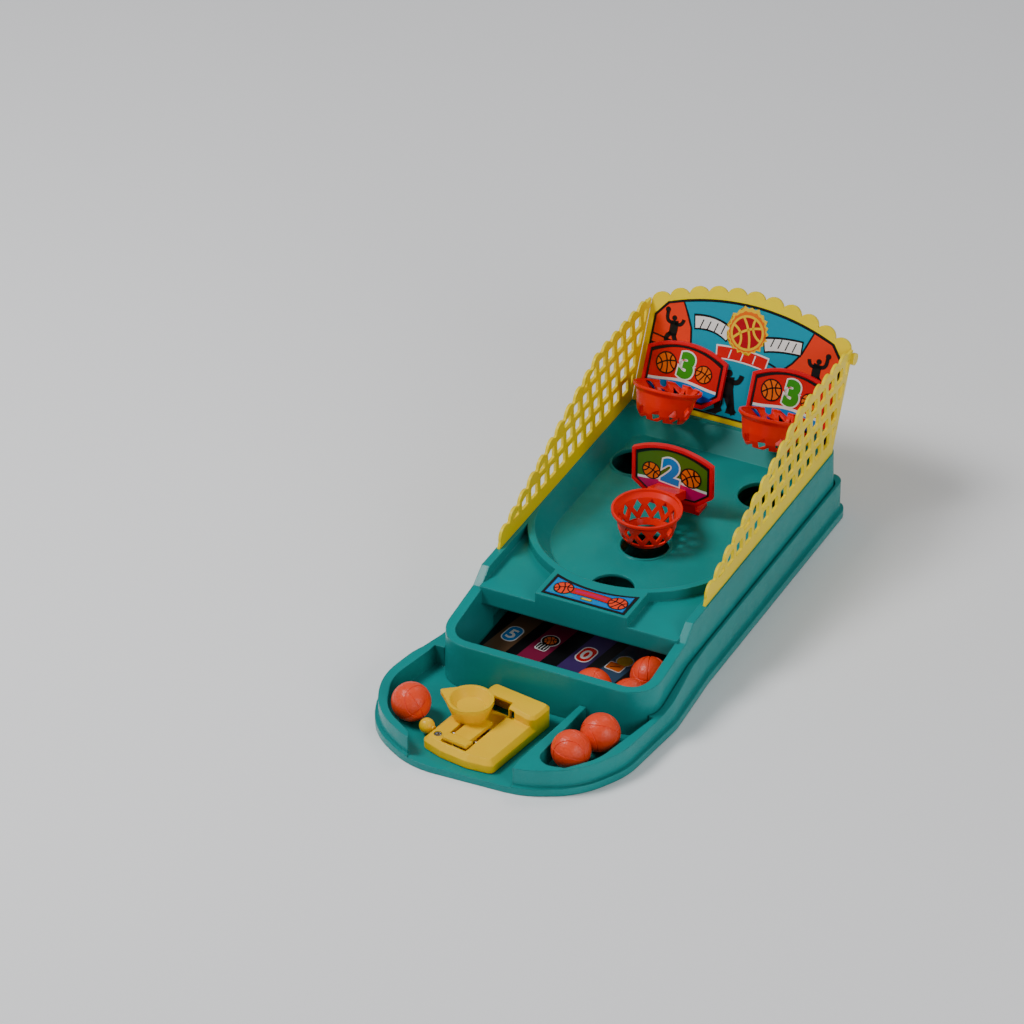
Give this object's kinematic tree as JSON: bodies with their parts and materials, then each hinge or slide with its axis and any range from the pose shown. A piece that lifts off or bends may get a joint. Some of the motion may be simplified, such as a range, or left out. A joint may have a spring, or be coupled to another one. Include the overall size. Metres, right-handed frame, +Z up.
{
  "type": "tabletop basketball game",
  "caption": "Tabletop basketball shooting game: moulded base with ball trays, swivelling lever launcher, dished playfield with return holes, lattice fences and basket hoops.",
  "frame": {"origin": "centre of the flat underside of the base, on the fence centreline", "axes": "+Y away from the player towards the back panel, +Z up, +X to the player's right"},
  "size_m": [0.2006, 0.4523, 0.1479],
  "materials": {
    "teal_shell": "semi-gloss moulded",
    "yellow_fence": "semi-gloss moulded",
    "yellow_launcher": "semi-gloss moulded",
    "red_plastic": "semi-gloss moulded",
    "printed_card": "printed card",
    "printed_label": "printed film",
    "steel": "zinc plated",
    "ball_rubber": "satin"
  },
  "bodies": {
    "base": {"back_panel": "yellow_fence", "backdrop_card": "printed_card", "base_shell": "teal_shell", "bottom_cover": "teal_shell", "corner_pins": "yellow_fence", "cover_screws": "steel", "deck_label": "printed_label", "left_backboard": "red_plastic", "left_basket": "red_plastic", "left_board_sticker": "printed_label", "left_fence": "yellow_fence", "middle_backboard": "red_plastic", "middle_basket": "red_plastic", "middle_board_sticker": "printed_label", "middle_post": "red_plastic", "playfield_deck": "teal_shell", "return_ramp": "teal_shell", "right_backboard": "red_plastic", "right_basket": "red_plastic", "right_board_sticker": "printed_label", "right_fence": "yellow_fence", "score_label": "printed_label", "swivel_screw": "steel", "swivel_washer": "steel"},
    "launcher": {"launcher_housing": "yellow_launcher", "housing_screw": "steel", "lever_pin": "steel", "aim_knob": "yellow_launcher", "lever_spring": "steel"},
    "lever": {"launch_lever": "yellow_launcher"},
    "left_tray_ball": {"left_tray_ball": "ball_rubber"},
    "right_tray_front_ball": {"right_tray_front_ball": "ball_rubber"},
    "right_tray_back_ball": {"right_tray_back_ball": "ball_rubber"},
    "trough_middle_ball": {"trough_middle_ball": "ball_rubber"},
    "trough_side_ball": {"trough_side_ball": "ball_rubber"},
    "trough_back_ball": {"trough_back_ball": "ball_rubber"}
  },
  "joints": [
    {"name": "launcher_swivel", "type": "hinge", "parent": "base", "child": "launcher", "pos_m": [-0.019, -0.163, 0.007], "axis": [0, 0, 1], "range_deg": [-5, 24]},
    {"name": "lever_pivot", "type": "hinge", "parent": "launcher", "child": "lever", "pos_m": [-0.02182, -0.18078, 0.0125], "axis": [0.9877, -0.1564, 0], "range_deg": [0, 20], "stiffness_Nm_per_rad": 0.02, "springref_deg": -20.05, "deforming": ["lever_spring"]},
    {"name": "left_tray_ball_lift", "type": "slide", "parent": "base", "child": "left_tray_ball", "axis": [0, 0, 1], "range_m": [0, 0.08]},
    {"name": "right_tray_front_ball_lift", "type": "slide", "parent": "base", "child": "right_tray_front_ball", "axis": [0, 0, 1], "range_m": [0, 0.08]},
    {"name": "right_tray_back_ball_lift", "type": "slide", "parent": "base", "child": "right_tray_back_ball", "axis": [0, 0, 1], "range_m": [0, 0.08]},
    {"name": "trough_middle_ball_lift", "type": "slide", "parent": "base", "child": "trough_middle_ball", "axis": [0, 0, 1], "range_m": [0, 0.08]},
    {"name": "trough_side_ball_lift", "type": "slide", "parent": "base", "child": "trough_side_ball", "axis": [0, 0, 1], "range_m": [0, 0.08]},
    {"name": "trough_back_ball_roll", "type": "slide", "parent": "base", "child": "trough_back_ball", "axis": [-1, 0, 0], "range_m": [0, 0.05]}
  ]
}
